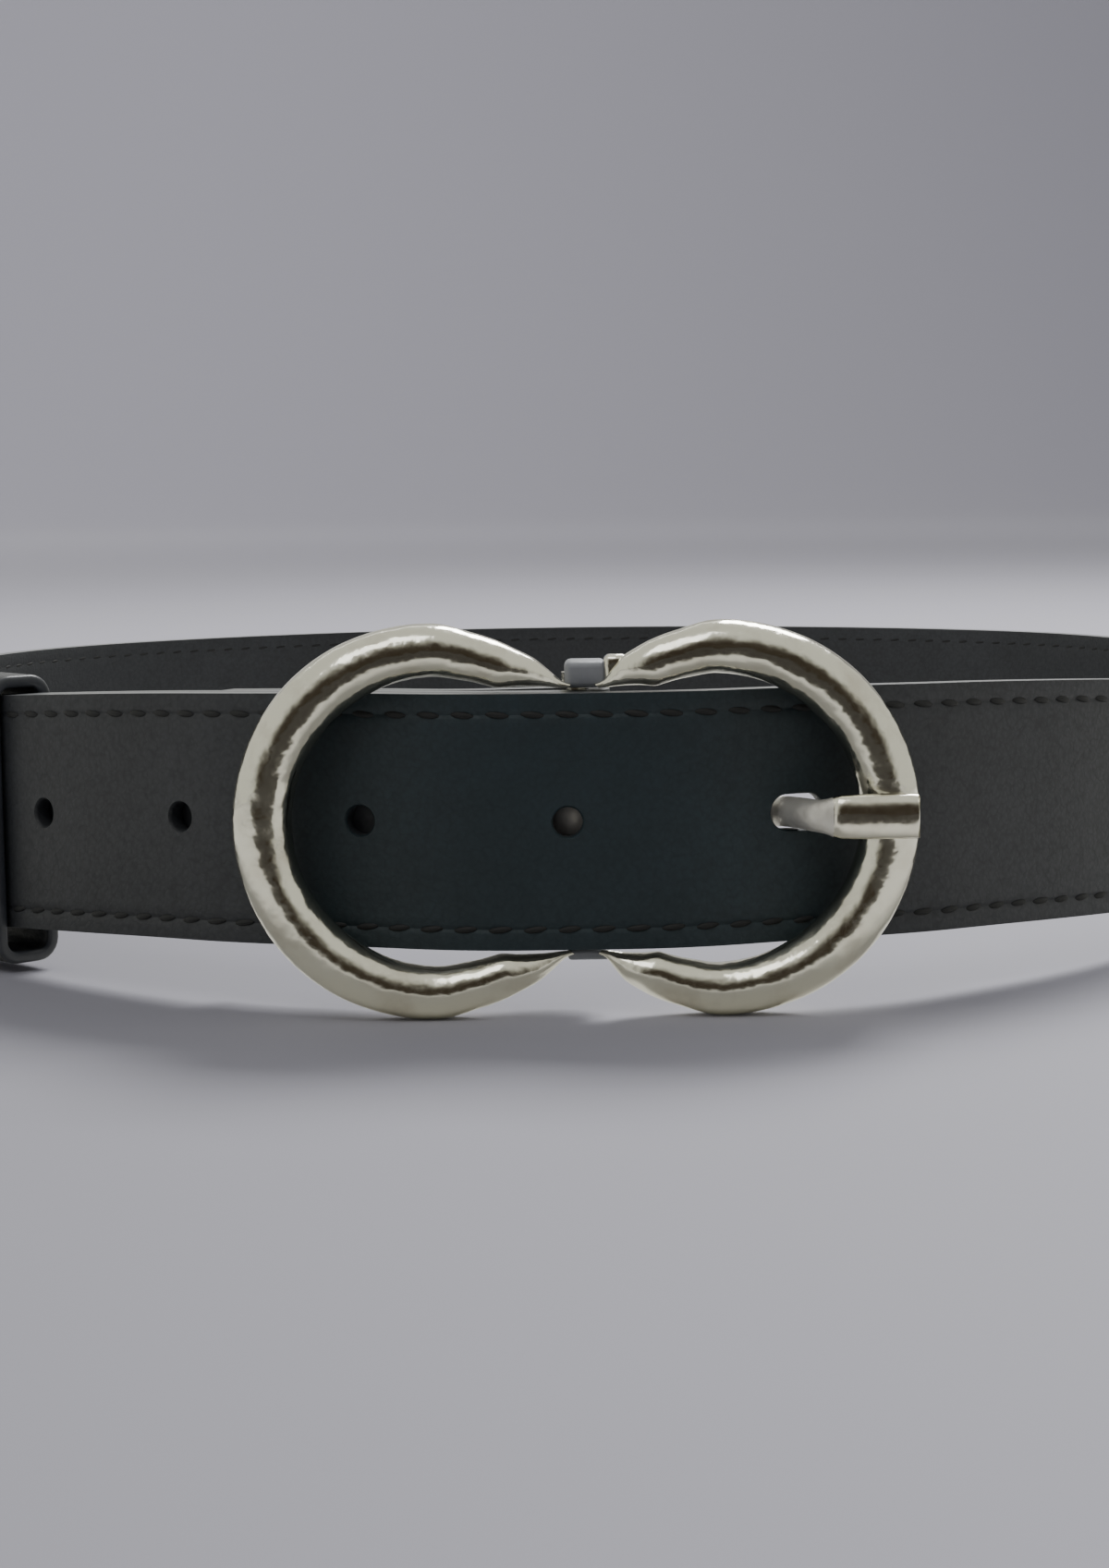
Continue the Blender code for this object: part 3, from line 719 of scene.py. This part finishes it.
def keeper_piece():
    mid = LAP / 2.0
    a = half_loop(KEEPER_AT)[2]
    out = Vector((-math.sin(a), -math.cos(a), 0.0))
    along = Vector((-math.cos(a), math.sin(a), 0.0))
    up = Vector((0.0, 0.0, 1.0))
    half_t = KEEPER_T / 2.0
    deep = (LAP + STRAP_T) / 2.0 + GAP + KEEPER_SLACK + half_t
    tall = (STRAP_W + KEEPER_ABOVE + KEEPER_BELOW) / 2.0 - half_t
    centre = on_loop(KEEPER_AT, -1, mid) + up * (KEEPER_ABOVE - KEEPER_BELOW) / 2.0
    r = KEEPER_CORNER
    half_w = KEEPER_W / 2.0
    sides = [("line", 2.0 * (tall - r)), ("turn", r), ("line", 2.0 * (deep - r)), ("turn", r)] * 2
    around = sum(l if kind == "line" else math.pi / 2.0 * l for kind, l in sides)

    def on_path(s):
        p, d = Vector((deep, -(tall - r))), 90.0
        for kind, l in sides:
            length = l if kind == "line" else math.pi / 2.0 * l
            t = min(s, length)
            d_rad = math.radians(d)
            ahead = Vector((math.cos(d_rad), math.sin(d_rad)))
            left = Vector((-ahead.y, ahead.x))
            if kind == "line":
                p = p + ahead * t
            else:
                w = t / l
                p = p + ahead * (l * math.sin(w)) + left * (l * (1.0 - math.cos(w)))
                d += math.degrees(w)
            s -= t
            if s <= 1e-9:
                break
        d_rad = math.radians(d)
        return p, Vector((math.sin(d_rad), -math.cos(d_rad)))

    right_cols = (1.4, 2.8, 4.25, KEEPER_STITCH, 5.2, half_w)
    cols = [-v for v in right_cols[::-1]] + [0.0] + list(right_cols)
    n, m = KEEPER_STEPS, len(cols) - 1
    bm = bmesh.new()
    bmesh.ops.create_grid(bm, x_segments=n, y_segments=m, size=0.5)
    for v in bm.verts:
        i, j = round((v.co.x + 0.5) * n), round((v.co.y + 0.5) * m)
        v.co = Vector((around * i / n, cols[j], 0.0))
    made = bmesh.ops.extrude_face_region(bm, geom=bm.faces[:])
    lifted = [g for g in made["geom"] if isinstance(g, bmesh.types.BMVert)]
    for v in bm.verts:
        v.co.z = -half_t
    for v in lifted:
        v.co.z = half_t
    ends = [f for f in bm.faces if abs(f.normal.x) > 0.9 or
            (abs(f.calc_center_median().x) < 1e-4 or abs(f.calc_center_median().x - around) < 1e-4)]
    bmesh.ops.delete(bm, geom=ends, context="FACES_ONLY")
    bmesh.ops.recalc_face_normals(bm, faces=bm.faces)
    rim = [e for e in bm.edges if all(abs(abs(v.co.y) - half_w) < 1e-4 for v in e.verts)
           and abs(e.verts[0].co.z - e.verts[1].co.z) < 1e-4]
    bmesh.ops.bevel(bm, geom=rim, offset=KEEPER_EDGE, segments=4, profile=0.5, affect="EDGES",
                    material=-1)
    flat = bm.loops.layers.uv.new("flat")
    for f in bm.faces:
        middle = f.calc_center_median()
        f.normal_update()
        f.material_index = 1 if half_w - abs(middle.y) < KEEPER_PAINTED and abs(f.normal.z) < 0.9 else 0
        for loop in f.loops:
            co = loop.vert.co
            loop[flat].uv = (co.x * MM + 0.5, co.y * MM + (0.0 if middle.z < 0.0 else 0.05))
    for v in bm.verts:
        if abs(abs(v.co.z) - half_t) < 1e-4:
            d = abs(abs(v.co.y) - KEEPER_STITCH)
            v.co.z -= math.copysign(KEEPER_PULL * math.exp(-(d / 0.3) ** 2), v.co.z)
        p, outward = on_path(v.co.x)
        q = p + outward * v.co.z
        v.co = (centre + out * q.x + up * q.y + along * v.co.y) * MM + PLACE
    bmesh.ops.remove_doubles(bm, verts=bm.verts, dist=1e-6)
    return piece(bm, "keeper_loop", [KEEPER_LEATHER, KEEPER_EDGE_PAINT], "keeper")


# Buckle frame: two spun tubes thinned toward the cusps, webs and bar

CRESCENT = (
    # degrees from the partner's side, tube share, radius share, set back in mm
    (46.4, 0.11, 1.075, 0.5),
    (49.0, 0.17, 1.047, 0.4),
    (54.2, 0.40, 1.024, 0.2),
    (58.9, 0.61, 1.008, 0.1),
    (66.3, 0.83, 0.980, 0.0),
    (77.6, 0.91, 0.981, 0.0),
    (90.0, 1.00, 1.000, 0.0),
    (110.0, 1.05, 1.000, 0.0),
    (120.0, 1.09, 1.000, 0.0),
    (140.0, FULL_TUBE, 1.000, 0.0),
    (180.0, FULL_TUBE, 1.000, 0.0),
)
CUSP_X = 1.1
CUSP = CUSP_X * (1.0 - CRESCENT[0][1])
CLEAR_Z = HALF_W + 0.4                       # from the buckle's middle to the webs
TUBE_SIDES, TUBE_STEPS = 40, 190
WEB_FRONT, WEB_LEFT, WEB_RIGHT, WEB_BEHIND = 0.4, 2.1, 2.8, 0.2
TOP_WEB, TOP_EDGE = 3.1, 0.8                 # height and rounding
LOW_WEB, LOW_EDGE = 1.2, 0.35
STEP_START, STEP_END, STEP_BACK, STEP_LOW, STEP_HIGH, STEP_EDGE = 2.4, 5.3, 2.05, 0.3, 3.9, 0.75


def smooth_row(a):
    """The crescent's table at angle a, with a smooth curve through its rows."""
    rows = CRESCENT
    k = max(0, min(len(rows) - 2, sum(1 for r in rows if r[0] <= a) - 1))
    x0, x1 = rows[k][0], rows[k + 1][0]
    t = min(max((a - x0) / (x1 - x0), 0.0), 1.0)

    def slope(i, c):
        if i <= 0 or i >= len(rows) - 1:
            return 0.0 if i else (rows[1][c] - rows[0][c]) / (rows[1][0] - rows[0][0])
        d0 = (rows[i][c] - rows[i - 1][c]) / (rows[i][0] - rows[i - 1][0])
        d1 = (rows[i + 1][c] - rows[i][c]) / (rows[i + 1][0] - rows[i][0])
        return 0.0 if d0 * d1 <= 0.0 else 2.0 * d0 * d1 / (d0 + d1)

    out = []
    for c in (1, 2, 3):
        p0, p1 = rows[k][c], rows[k + 1][c]
        m0, m1 = slope(k, c) * (x1 - x0), slope(k + 1, c) * (x1 - x0)
        t2, t3 = t * t, t * t * t
        out.append(p0 * (2 * t3 - 3 * t2 + 1) + m0 * (t3 - 2 * t2 + t)
                   + p1 * (3 * t2 - 2 * t3) + m1 * (t3 - t2))
    return out


def tube(side):
    """One ring of the buckle: a circle spun from cusp to cusp, then thinned after the table."""
    bm = bmesh.new()
    circle = bmesh.ops.create_circle(bm, cap_ends=False, radius=TUBE_R,
                                      segments=TUBE_SIDES)["verts"]
    start = math.radians(CRESCENT[0][0])
    bmesh.ops.rotate(bm, verts=circle, cent=(0, 0, 0), matrix=Matrix.Rotation(math.pi / 2.0, 3, "X"))
    bmesh.ops.rotate(bm, verts=circle, cent=(0, 0, 0), matrix=Matrix.Rotation(math.pi / 2.0, 3, "Z"))
    bmesh.ops.rotate(bm, verts=circle, cent=(0, 0, 0), matrix=Matrix.Rotation(math.pi / 2.0, 3, "Y"))
    # the section is moved out and turned to the first cusp
    bmesh.ops.translate(bm, verts=circle, vec=(RING_R, 0.0, 0.0))
    bmesh.ops.rotate(bm, verts=circle, cent=(0, 0, 0), matrix=Matrix.Rotation(-start, 3, "Y"))
    bmesh.ops.spin(bm, geom=bm.verts[:] + bm.edges[:], cent=(0, 0, 0), axis=(0, -1, 0),
                   angle=2.0 * (math.pi - start), steps=TUBE_STEPS, use_merge=False, use_duplicate=False)
    bmesh.ops.remove_doubles(bm, verts=bm.verts, dist=1e-5)
    bmesh.ops.holes_fill(bm, edges=[e for e in bm.edges if e.is_boundary], sides=0)
    for v in bm.verts:
        x, y, z = v.co
        angle = math.degrees(abs(math.atan2(z, x)))
        share, radius, back = smooth_row(angle)
        c = Vector((x, 0.0, z)).normalized()
        offset = Vector((x, y, z)) - c * RING_R
        centre = c * (RING_R * radius)
        q = centre + offset * share
        v.co = Vector((side * (RING_X - q.x) + CUSP_X * max(1.0 - share, 0.0), q.y + back, q.z + LIFT))
    bmesh.ops.recalc_face_normals(bm, faces=bm.faces)
    return scratch(bm, "tube")


def block(low_corner, high_corner, edge, segments=4):
    """Block between two corners with rounded edges."""
    bm = bmesh.new()
    bmesh.ops.create_cube(bm, size=1.0)
    for v in bm.verts:
        v.co = Vector([(a + b) / 2.0 + c * (b - a) for a, b, c in zip(low_corner, high_corner, v.co)])
    bmesh.ops.bevel(bm, geom=bm.edges[:], offset=edge, segments=segments, profile=0.5, affect="EDGES",
                    material=-1)
    bmesh.ops.recalc_face_normals(bm, faces=bm.faces)
    return scratch(bm, "block")


def rod(radius, z0, z1, segments=48):
    """Upright rod in the bar's place."""
    bm = bmesh.new()
    bmesh.ops.create_cone(bm, cap_ends=True, segments=segments, radius1=radius, radius2=radius,
                          depth=z1 - z0)
    bmesh.ops.translate(bm, verts=bm.verts, vec=(0.0, BAR_Y, (z0 + z1) / 2.0))
    bmesh.ops.recalc_face_normals(bm, faces=bm.faces)
    return scratch(bm, "rod")


def frame_piece():
    left, right, back = CUSP - WEB_LEFT, CUSP + WEB_RIGHT, BAR_Y + BAR_R + WEB_BEHIND
    top, bottom = LIFT + CLEAR_Z, LIFT - CLEAR_Z
    bm = carve(tube(-1), [
        tube(1),
        block((left, WEB_FRONT, top), (right, back, top + TOP_WEB), TOP_EDGE),
        block((left, WEB_FRONT, bottom - LOW_WEB), (right, back, bottom), LOW_EDGE),
        block((CUSP + STEP_START, 0.0, top + STEP_LOW), (CUSP + STEP_END, STEP_BACK, top + STEP_HIGH),
              STEP_EDGE),
        rod(BAR_R, bottom - 0.6, top + 1.6),
    ], "UNION")
    # faces of the webs take the darker metal: painted shade
    for f in bm.faces:
        c = f.calc_center_median()
        on_web = left - 0.01 < c.x < right and c.y > WEB_FRONT - 0.01 and abs(c.z - LIFT) > CLEAR_Z
        f.material_index = 1 if on_web else 0
    for v in bm.verts:
        v.co = v.co * MM + PLACE
    return piece(bm, "double_ring_frame", [RING_PLATE, WEB_SHADED_PLATE], "buckle_frame",
                 sharp=METAL_SHARP)


# Prong: a crowned bar bent through the hole, with its eye round the bar

PRONG = (
    # share of the reach, y, rise, half width, half thickness
    (0.055, 5.0, 0.0, 1.75, 1.10),
    (0.227, 5.0, 0.0, 1.85, 1.10),
    (0.403, 5.4, 0.0, 1.85, 1.10),
    (0.500, 6.0, 0.0, 1.80, 1.10),
    (0.552, 6.2, 0.0, 1.80, 1.15),
    (0.604, 5.3, 0.1, 1.80, 1.30),
    (0.630, 3.9, 0.2, 1.80, 1.60),
    (0.654, 2.0, 0.3, 1.80, 1.95),
    (0.676, -0.1, 0.4, 1.80, 2.05),
    (0.700, -2.1, 0.4, 1.85, 1.90),
    (0.728, -3.7, 0.5, 2.05, 1.50),
    (0.756, -4.6, 0.5, 2.50, 1.15),
    (0.781, -4.9, 0.5, 2.60, 1.10),
    (0.882, -4.9, 0.5, 2.60, 1.10),
    (0.977, -4.9, 0.5, 2.60, 1.10),
    (0.990, -4.9, 0.5, 2.50, 1.00),
)
NECK_END = 0.742                             # share of the reach
PRONG_SIDES, PRONG_CUTS = 36, 130
CLOSING_CUTS = 5.0                           # over which the tip rounds off
CROWN_START, CROWN_END = 0.66, 0.79          # along the table; from oval to a crowned front
EYE_H, EYE_T, EYE_EDGE, EYE_STEPS = 4.0, 1.6, 0.25, 56


def prong_at(t):
    """Row of the prong's table at t from 0 to 1, with a smooth curve through its rows."""
    n = len(PRONG) - 1
    k = min(int(t * n), n - 1)
    f = t * n - k
    a, b, c, d = (PRONG[max(0, min(n, k + i))] for i in (-1, 0, 1, 2))
    out = []
    for p0, p1, p2, p3 in zip(a, b, c, d):
        out.append(0.5 * (2 * p1 + (p2 - p0) * f + (2 * p0 - 5 * p1 + 4 * p2 - p3) * f * f
                          + (3 * p1 - p0 - 3 * p2 + p3) * f ** 3))
    return out


def prong_piece():
    bm = bmesh.new()
    bmesh.ops.create_circle(bm, cap_ends=False, radius=1.0, segments=PRONG_SIDES)
    section = bm.edges[:]
    for _ in range(PRONG_CUTS):
        made = bmesh.ops.extrude_edge_only(bm, edges=section)["geom"]
        section = [g for g in made if isinstance(g, bmesh.types.BMEdge)]
        raised = [g for g in made if isinstance(g, bmesh.types.BMVert)]
        bmesh.ops.translate(bm, verts=raised, vec=(0.0, 0.0, 1.0))
    bmesh.ops.holes_fill(bm, edges=[e for e in bm.edges if e.is_boundary], sides=0)
    for v in bm.verts:
        t = min(v.co.z / PRONG_CUTS, 1.0)
        x, y, rise, wide, thick = prong_at(t)
        x2, y2 = prong_at(min(t + 0.004, 1.0))[:2]
        x1, y1 = prong_at(max(t - 0.004, 0.0))[:2]
        ahead = Vector(((x2 - x1) * REACH, y2 - y1, 0.0)).normalized()
        across = Vector((ahead.y, -ahead.x, 0.0))
        cx, cy = v.co.x, v.co.y
        oval = math.copysign(abs(cx) ** 0.86, cx)
        crown = max(2.0 * ((cx + 0.3) / 1.3) ** 0.75 - 1.0, -1.0) if cx > -0.3 else -1.0
        a = oval + (crown - oval) * ease((t - CROWN_START) / (CROWN_END - CROWN_START))
        b = math.copysign(abs(cy) ** 0.92, cy)
        end = (1.0 - t) * PRONG_CUTS / CLOSING_CUTS
        close = 1.0 if end > 1.0 else 0.55 + 0.45 * math.sqrt(max(1.0 - (1.0 - end) ** 2, 0.0))
        middle = Vector((x * REACH, y, LIFT + rise))
        v.co = middle + across * (a * thick * close) + Vector((0.0, 0.0, b * wide * close))
    bmesh.ops.recalc_face_normals(bm, faces=bm.faces)
    shaft = scratch(bm, "shaft")
    eye = bmesh.new()
    bore = BAR_R + GAP
    half, rim = EYE_H / 2.0, bore + EYE_T
    profile = [(bore, -half + EYE_EDGE), (bore + EYE_EDGE, -half), (rim - EYE_EDGE, -half),
               (rim, -half + EYE_EDGE), (rim, half - EYE_EDGE), (rim - EYE_EDGE, half),
               (bore + EYE_EDGE, half), (bore, half - EYE_EDGE)]
    verts = [eye.verts.new((r, 0.0, z)) for r, z in profile]
    edges = [eye.edges.new((verts[i], verts[(i + 1) % len(verts)])) for i in range(len(verts))]
    bmesh.ops.spin(eye, geom=verts + edges, cent=(0, 0, 0), axis=(0, 0, 1), angle=2.0 * math.pi,
                   steps=EYE_STEPS, use_merge=True, use_duplicate=False)
    bmesh.ops.remove_doubles(eye, verts=eye.verts, dist=1e-5)
    bmesh.ops.translate(eye, verts=eye.verts, vec=(0.0, BAR_Y, LIFT))
    bmesh.ops.recalc_face_normals(eye, faces=eye.faces)
    bm = carve(shaft, [scratch(eye, "eye")], "UNION")
    # the neck, up to NECK_END, takes the lighter metal: painted light
    for f in bm.faces:
        f.material_index = 1 if f.calc_center_median().x < NECK_END * REACH else 0
    for v in bm.verts:
        v.co = v.co * MM + PLACE
    return piece(bm, "prong", [PRONG_PLATE, NECK_LIT_PLATE], "buckle_prong",
                 sharp=METAL_SHARP)


strap_piece()
stitch_piece()
keeper_piece()
frame_piece()
prong_piece()


# Floor, sky, lights and camera

# the paper near the belt is painted darker at the left and lighter at the right: painted shade and light
PAPER_SHADED_LEFT, PAPER_LIT_RIGHT = (0.345, 0.340, 0.378, 1.0), (0.500, 0.495, 0.545, 1.0)
PAPER_FAR = (0.415, 0.408, 0.455, 1.0)
# painted reflection: colours the paper shows only to glossy rays, bright and dark
PAPER_MIRRORED, PAPER_MIRRORED_DARK = (0.84, 0.83, 0.76, 1.0), (0.020, 0.016, 0.012, 1.0)
DARK_FROM, DARK_TO = -0.074, -0.056          # metres in front of the buckle, where the painted reflection on the paper turns dark
FLOOR_HALF, SWEEP_LONG, SWEEP_STEPS, WALL_HIGH = 3.0, 1.2, 12, 2.0
ROOM_FROM, ROOM_TO = -0.94, -0.58            # cone behind the camera that the metal mirrors dark
ROOM_DARK, ROOM_BRIGHT = (0.050, 0.040, 0.028, 1.0), (0.80, 0.80, 0.72, 1.0)
ROOM_LIGHT, ROOM_SEEN = (0.30, 0.30, 0.32, 1.0), (0.32, 0.315, 0.355, 1.0)

def painted_floor_shade(tree, place):
    """Painted light and shade on the paper: even far away, and rising from darker at the left to lighter
    at the right near the belt.
    """
    rise = node(tree, "ShaderNodeMapRange")
    rise.inputs[1].default_value, rise.inputs[2].default_value = -0.09, 0.09
    tree.links.new(place.outputs["X"], rise.inputs[0])
    near = node(tree, "ShaderNodeMapRange", interpolation_type="SMOOTHSTEP")
    near.inputs[1].default_value, near.inputs[2].default_value = 0.25, -0.05
    tree.links.new(place.outputs["Y"], near.inputs[0])
    slope = node(tree, "ShaderNodeMix", data_type="RGBA")
    slope.inputs[6].default_value = PAPER_SHADED_LEFT
    slope.inputs[7].default_value = PAPER_LIT_RIGHT
    tree.links.new(rise.outputs[0], slope.inputs[0])
    tone = node(tree, "ShaderNodeMix", data_type="RGBA")
    tone.inputs[6].default_value = PAPER_FAR
    tree.links.new(near.outputs[0], tone.inputs[0])
    tree.links.new(slope.outputs[2], tone.inputs[7])
    return tone.outputs[2]


def floor():
    """Paper that sweeps up behind the belt. Glossy rays see a painted reflection on it: bright, and dark
    near the camera.
    """
    bm = bmesh.new()
    bmesh.ops.create_grid(bm, x_segments=1, y_segments=1, size=FLOOR_HALF)
    back = [e for e in bm.edges if all(v.co.y > FLOOR_HALF - 0.1 for v in e.verts)]
    step = SWEEP_LONG * math.pi / (2 * SWEEP_STEPS)
    turns = [math.pi / 2.0 * (k + 0.5) / SWEEP_STEPS for k in range(SWEEP_STEPS)]
    moves = [(0.0, step * math.cos(a), step * math.sin(a)) for a in turns]
    for move in moves + [(0.0, 0.0, WALL_HIGH)]:
        made = bmesh.ops.extrude_edge_only(bm, edges=back)["geom"]
        back = [g for g in made if isinstance(g, bmesh.types.BMEdge)]
        raised = [g for g in made if isinstance(g, bmesh.types.BMVert)]
        bmesh.ops.translate(bm, verts=raised, vec=move)
    for f in bm.faces:
        f.smooth = True
    obj = scratch(bm, "studio_floor")
    mat, tree, shader = blank("studio_paper")
    shader.inputs["Roughness"].default_value = 0.85
    place = node(tree, "ShaderNodeTexCoord")
    split = node(tree, "ShaderNodeSeparateXYZ")
    tree.links.new(place.outputs["Object"], split.inputs[0])
    wide = node(tree, "ShaderNodeMath", operation="ABSOLUTE")
    tree.links.new(split.outputs["X"], wide.inputs[0])
    past = node(tree, "ShaderNodeMath", operation="SUBTRACT")
    past.inputs[1].default_value = 0.04
    tree.links.new(wide.outputs[0], past.inputs[0])
    outside = node(tree, "ShaderNodeMath", operation="MAXIMUM")
    outside.inputs[1].default_value = 0.0
    tree.links.new(past.outputs[0], outside.inputs[0])
    ahead = node(tree, "ShaderNodeMath", operation="ADD")
    tree.links.new(split.outputs["Y"], ahead.inputs[0])
    tree.links.new(outside.outputs[0], ahead.inputs[1])
    dark = node(tree, "ShaderNodeMapRange", interpolation_type="SMOOTHSTEP")
    dark.inputs[1].default_value, dark.inputs[2].default_value = PLACE.y + DARK_FROM, PLACE.y + DARK_TO
    tree.links.new(ahead.outputs[0], dark.inputs[0])
    mirrored = node(tree, "ShaderNodeMix", data_type="RGBA")
    mirrored.inputs[6].default_value = PAPER_MIRRORED_DARK
    mirrored.inputs[7].default_value = PAPER_MIRRORED
    tree.links.new(dark.outputs[0], mirrored.inputs[0])
    ray = node(tree, "ShaderNodeLightPath")
    pick = node(tree, "ShaderNodeMix", data_type="RGBA")
    tree.links.new(painted_floor_shade(tree, split), pick.inputs[6])
    tree.links.new(mirrored.outputs[2], pick.inputs[7])
    tree.links.new(ray.outputs["Is Glossy Ray"], pick.inputs[0])
    tree.links.new(pick.outputs[2], shader.inputs["Base Color"])
    obj.data.materials.append(mat)


floor()

world = bpy.data.worlds.new("studio")
bpy.context.scene.world = world
world.use_nodes = True
wt = world.node_tree
sky = wt.nodes["Background"]
geo = node(wt, "ShaderNodeTexCoord")
split = node(wt, "ShaderNodeSeparateXYZ")
wt.links.new(geo.outputs["Generated"], split.inputs[0])
front = node(wt, "ShaderNodeMapRange", interpolation_type="SMOOTHSTEP")
front.inputs[1].default_value, front.inputs[2].default_value = ROOM_FROM, ROOM_TO
wt.links.new(split.outputs["Y"], front.inputs[0])
mirrored = node(wt, "ShaderNodeMix", data_type="RGBA")
mirrored.inputs[6].default_value = ROOM_DARK
mirrored.inputs[7].default_value = ROOM_BRIGHT
wt.links.new(front.outputs[0], mirrored.inputs[0])
ray = node(wt, "ShaderNodeLightPath")
glossy = node(wt, "ShaderNodeMix", data_type="RGBA")
glossy.inputs[6].default_value = ROOM_LIGHT
wt.links.new(ray.outputs["Is Glossy Ray"], glossy.inputs[0])
wt.links.new(mirrored.outputs[2], glossy.inputs[7])
seen = node(wt, "ShaderNodeMix", data_type="RGBA")
wt.links.new(ray.outputs["Is Camera Ray"], seen.inputs[0])
wt.links.new(glossy.outputs[2], seen.inputs[6])
seen.inputs[7].default_value = ROOM_SEEN
wt.links.new(seen.outputs[2], sky.inputs["Color"])
sky.inputs["Strength"].default_value = 1.0


def softbox(name, place, aim, size_x, size_y, power, colour=(1.0, 1.0, 1.0)):
    light = bpy.data.lights.new(name, "AREA")
    light.shape, light.size, light.size_y = "RECTANGLE", size_x, size_y
    light.energy, light.color = power, colour
    obj = bpy.data.objects.new(name, light)
    obj.location = place
    obj.rotation_mode = "QUATERNION"
    obj.rotation_quaternion = (Vector(aim) - Vector(place)).to_track_quat("-Z", "Y")
    bpy.context.scene.collection.objects.link(obj)


softbox("key", (0.30, 0.62, 0.95), (0.04, -0.12, 0.0), 0.50, 0.50, 15.5)
softbox("front_fill", (-0.35, -0.80, 1.10), (0.0, -0.1, 0.02), 0.6, 0.6, 3.0)
softbox("backdrop", (-1.0, 1.9, 2.3), (-1.2, 3.8, 0.3), 2.4, 0.8, 46.0)

# fitted to the photograph: millimetres from the buckle, radians, and pixels
CAMERA_AT = (-3.57, -323.9, 63.8)
YAW, PITCH, ROLL, FOCAL = -0.0034, 0.1116, -0.0141, 3031.1
PHOTO_HIGH, SENSOR = 1697.0, 36.0
ahead = Vector((-math.sin(YAW) * math.cos(PITCH), math.cos(YAW) * math.cos(PITCH), -math.sin(PITCH)))
right = Vector((math.cos(YAW), math.sin(YAW), 0.0))
up = right.cross(ahead)
across = right * math.cos(ROLL) + up * math.sin(ROLL)
above = up * math.cos(ROLL) - right * math.sin(ROLL)
data = bpy.data.cameras.new("photo_view")
data.sensor_width, data.lens = SENSOR, FOCAL * SENSOR / PHOTO_HIGH
data.clip_start, data.clip_end = 0.01, 50.0
camera = bpy.data.objects.new("photo_view", data)
camera.matrix_world = Matrix.Translation(Vector(CAMERA_AT) * MM + PLACE) @ Matrix(
    (across, above, -ahead)).transposed().to_4x4()
bpy.context.scene.collection.objects.link(camera)
bpy.context.scene.camera = camera

bpy.context.view_layer.update()
